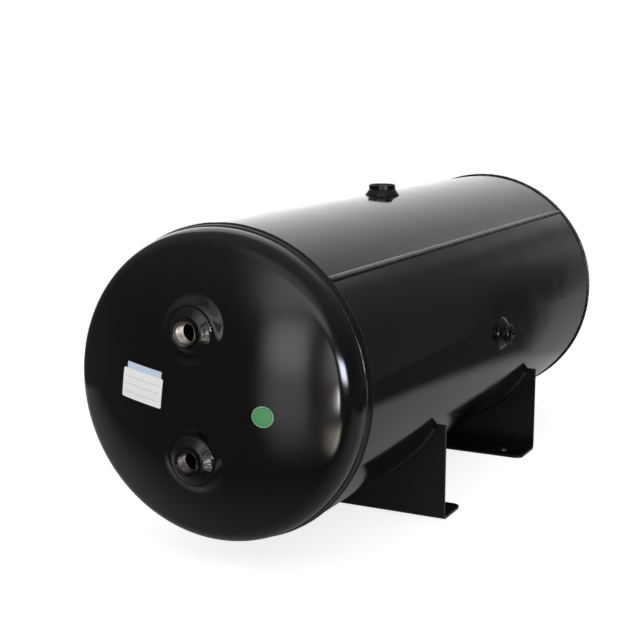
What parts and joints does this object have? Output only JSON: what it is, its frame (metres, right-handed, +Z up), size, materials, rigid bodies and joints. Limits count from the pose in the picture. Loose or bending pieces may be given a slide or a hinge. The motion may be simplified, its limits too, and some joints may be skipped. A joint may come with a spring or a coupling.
{
  "type": "horizontal pressure tank",
  "caption": "Horizontal welded steel pressure tank: a rolled shell with dished ends, threaded ports on an end, the top and a side, and bent plate feet.",
  "frame": {"origin": "on the floor, in the middle of the bolt holes of the two feet, under the tank's axis", "axes": "X along the tank's axis with the head that has ports at -X, Y across the feet with the side port at -Y, Z up"},
  "size_m": [1.116, 0.4105, 0.442],
  "materials": {
    "black_paint": "glossy black enamel over steel",
    "painted_weld": "glossy black enamel over weld bead",
    "bare_thread": "bare machined steel thread",
    "paper_label": "blank white paper label",
    "green_sticker": "blank round green vinyl sticker"
  },
  "bodies": {
    "root": {"shell": "black_paint", "seam_weld": "painted_weld", "front_head": "black_paint", "rear_head": "black_paint", "front_girth_weld": "painted_weld", "rear_girth_weld": "painted_weld", "upper_port_boss": "black_paint", "lower_port_boss": "black_paint", "upper_port_weld": "painted_weld", "lower_port_weld": "painted_weld", "top_port_boss": "black_paint", "side_port_boss": "black_paint", "drain_port_boss": "black_paint", "top_port_weld": "painted_weld", "side_port_weld": "painted_weld", "drain_port_weld": "painted_weld", "front_foot": "black_paint", "rear_foot": "black_paint", "front_foot_left_weld": "painted_weld", "front_foot_right_weld": "painted_weld", "rear_foot_left_weld": "painted_weld", "rear_foot_right_weld": "painted_weld"}
  },
  "joints": []
}
